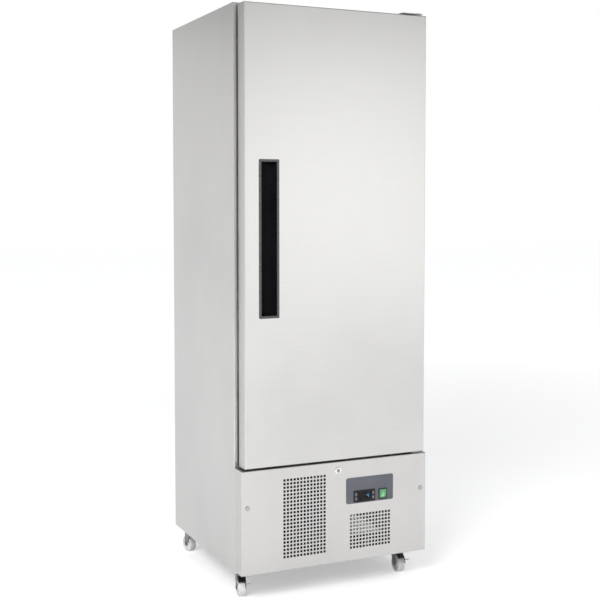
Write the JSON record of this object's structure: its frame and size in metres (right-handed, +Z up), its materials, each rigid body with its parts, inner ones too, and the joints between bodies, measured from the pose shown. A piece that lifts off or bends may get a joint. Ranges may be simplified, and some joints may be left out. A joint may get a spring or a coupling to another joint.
{
  "type": "upright commercial fridge",
  "caption": "Tall stainless fridge with one insulated door over a perforated service panel, on swivelling castors, with shelves and the cooling unit inside.",
  "frame": {"origin": "on the floor, under the middle of the fridge", "axes": "+X to the right of someone facing the door, +Y to the back, +Z up"},
  "size_m": [0.7, 0.7154, 1.997],
  "materials": {
    "stainless_brushed": "brushed stainless sheet",
    "galvanised_sheet": "dull zinc-coated sheet",
    "zinc_steel": "zinc-plated steel",
    "chrome_ring": "polished chrome",
    "foam": "rigid insulating foam",
    "black_moulding": "fine-grained black plastic",
    "dark_moulding": "dark grey plastic",
    "grey_key": "matt grey rubber",
    "white_moulding": "white plastic",
    "light_grey_moulding": "light grey plastic",
    "green_lens": "clear green plastic",
    "plate_blue_grey": "satin dark blue-grey",
    "paint_black": "semi-gloss black paint",
    "rubber_black": "matt black rubber",
    "seal_grey": "soft grey seal",
    "aluminium_fin": "bright thin sheet",
    "copper_pipe": "drawn copper tube",
    "wire_coated": "grey plastic-coated wire"
  },
  "bodies": {
    "cabinet": {"left_side_panel": "stainless_brushed", "right_side_panel": "stainless_brushed", "top_panel": "stainless_brushed", "back_panel": "galvanised_sheet", "cabinet_insulation": "foam", "inner_liner": "stainless_brushed", "base_frame": "galvanised_sheet", "rear_grille": "galvanised_sheet", "cable_gland": "black_moulding", "compressor": "paint_black", "compressor_mounts": "rubber_black", "compressor_terminal_cover": "black_moulding", "condenser_coil": "paint_black", "condenser_shroud": "galvanised_sheet", "condenser_fan_motor": "dark_moulding", "refrigerant_pipes": "copper_pipe", "condensate_tray": "galvanised_sheet", "electrical_box": "light_grey_moulding", "evaporator_coil": "aluminium_fin", "evaporator_cover": "stainless_brushed", "evaporator_fan_motor": "dark_moulding", "shelf_uprights": "stainless_brushed", "shelf_runners": "stainless_brushed", "hinge_top": "stainless_brushed", "hinge_bottom": "stainless_brushed", "hex_bolts": "zinc_steel", "service_panel": "stainless_brushed", "panel_screws": "zinc_steel", "lock_body": "chrome_ring", "control_plate": "plate_blue_grey", "controller": "black_moulding", "switch_frame": "black_moulding", "castor_plates": "zinc_steel"},
    "door": {"door_skin": "stainless_brushed", "door_core": "foam", "door_inner_panel": "stainless_brushed", "door_gasket": "seal_grey", "door_handle": "black_moulding", "hinge_bushes": "white_moulding"},
    "lock_plug": {"lock_plug": "zinc_steel"},
    "rocker": {"rocker_switch": "green_lens"},
    "key_set": {"key_set": "grey_key"},
    "key_light": {"key_light": "grey_key"},
    "key_up": {"key_up": "grey_key"},
    "key_down": {"key_down": "grey_key"},
    "condenser_fan": {"condenser_fan_blade": "aluminium_fin"},
    "evaporator_fan": {"evaporator_fan_blade": "aluminium_fin"},
    "shelf_top": {"shelf_top": "wire_coated"},
    "shelf_middle": {"shelf_middle": "wire_coated"},
    "shelf_bottom": {"shelf_bottom": "wire_coated"},
    "castor_fl": {"castor_fork_fl": "zinc_steel"},
    "wheel_fl": {"castor_wheel_fl": "white_moulding"},
    "castor_fr": {"castor_fork_fr": "zinc_steel"},
    "wheel_fr": {"castor_wheel_fr": "white_moulding"},
    "castor_bl": {"castor_fork_bl": "zinc_steel"},
    "wheel_bl": {"castor_wheel_bl": "white_moulding"},
    "castor_br": {"castor_fork_br": "zinc_steel"},
    "wheel_br": {"castor_wheel_br": "white_moulding"},
    "brake_fl": {"brake_pedal_fl": "zinc_steel"},
    "brake_fr": {"brake_pedal_fr": "zinc_steel"}
  },
  "joints": [
    {"name": "door_hinge", "type": "hinge", "parent": "cabinet", "child": "door", "pos_m": [0.325, -0.32025, 0.46], "axis": [0, 0, 1], "range_deg": [0, 110]},
    {"name": "lock_turn", "type": "hinge", "parent": "cabinet", "child": "lock_plug", "pos_m": [0.004, -0.35225, 0.425], "axis": [0, -1, 0], "range_deg": [0, 90]},
    {"name": "rocker_tilt", "type": "hinge", "parent": "cabinet", "child": "rocker", "pos_m": [0.176, -0.35175, 0.328], "axis": [-1, 0, 0], "range_deg": [0, 16]},
    {"name": "key_set_press", "type": "slide", "parent": "cabinet", "child": "key_set", "axis": [0, 1, 0], "range_m": [0, 0.0008], "stiffness_N_per_m": 400},
    {"name": "key_light_press", "type": "slide", "parent": "cabinet", "child": "key_light", "axis": [0, 1, 0], "range_m": [0, 0.0008], "stiffness_N_per_m": 400},
    {"name": "key_up_press", "type": "slide", "parent": "cabinet", "child": "key_up", "axis": [0, 1, 0], "range_m": [0, 0.0008], "stiffness_N_per_m": 400},
    {"name": "key_down_press", "type": "slide", "parent": "cabinet", "child": "key_down", "axis": [0, 1, 0], "range_m": [0, 0.0008], "stiffness_N_per_m": 400},
    {"name": "condenser_fan_spin", "type": "hinge", "parent": "cabinet", "child": "condenser_fan", "pos_m": [-0.157, 0, 0.259], "axis": [0, 1, 0], "continuous": true},
    {"name": "evaporator_fan_spin", "type": "hinge", "parent": "cabinet", "child": "evaporator_fan", "pos_m": [0, 0, 1.775], "axis": [0, 1, 0], "continuous": true},
    {"name": "shelf_top_slide", "type": "slide", "parent": "cabinet", "child": "shelf_top", "axis": [0, -1, 0], "range_m": [0, 0.044]},
    {"name": "shelf_middle_slide", "type": "slide", "parent": "cabinet", "child": "shelf_middle", "axis": [0, -1, 0], "range_m": [0, 0.044]},
    {"name": "shelf_bottom_slide", "type": "slide", "parent": "cabinet", "child": "shelf_bottom", "axis": [0, -1, 0], "range_m": [0, 0.044]},
    {"name": "castor_swivel_fl", "type": "hinge", "parent": "cabinet", "child": "castor_fl", "pos_m": [-0.305, -0.21825, 0.095], "axis": [0, 0, 1], "continuous": true},
    {"name": "wheel_roll_fl", "type": "hinge", "parent": "castor_fl", "child": "wheel_fl", "pos_m": [-0.30957, -0.23977, 0.03], "axis": [0.9781, -0.2079, 0], "continuous": true},
    {"name": "brake_press_fl", "type": "hinge", "parent": "castor_fl", "child": "brake_fl", "pos_m": [-0.30999, -0.24173, 0.072], "axis": [0.9781, -0.2079, 0], "range_deg": [0, 6]},
    {"name": "castor_swivel_fr", "type": "hinge", "parent": "cabinet", "child": "castor_fr", "pos_m": [0.305, -0.21825, 0.095], "axis": [0, 0, 1], "continuous": true},
    {"name": "wheel_roll_fr", "type": "hinge", "parent": "castor_fr", "child": "wheel_fr", "pos_m": [0.30385, -0.24022, 0.03], "axis": [0.9986, -0.0523, 0], "continuous": true},
    {"name": "brake_press_fr", "type": "hinge", "parent": "castor_fr", "child": "brake_fr", "pos_m": [0.30374, -0.24222, 0.072], "axis": [0.9986, -0.0523, 0], "range_deg": [0, 6]},
    {"name": "castor_swivel_bl", "type": "hinge", "parent": "cabinet", "child": "castor_bl", "pos_m": [-0.305, 0.28075, 0.095], "axis": [0, 0, 1], "continuous": true},
    {"name": "wheel_roll_bl", "type": "hinge", "parent": "castor_bl", "child": "wheel_bl", "pos_m": [-0.30995, 0.30219, 0.03], "axis": [-0.9744, -0.225, 0], "continuous": true},
    {"name": "castor_swivel_br", "type": "hinge", "parent": "cabinet", "child": "castor_br", "pos_m": [0.305, 0.28075, 0.095], "axis": [0, 0, 1], "continuous": true},
    {"name": "wheel_roll_br", "type": "hinge", "parent": "castor_br", "child": "wheel_br", "pos_m": [0.31069, 0.302, 0.03], "axis": [-0.9659, 0.2588, 0], "continuous": true}
  ]
}
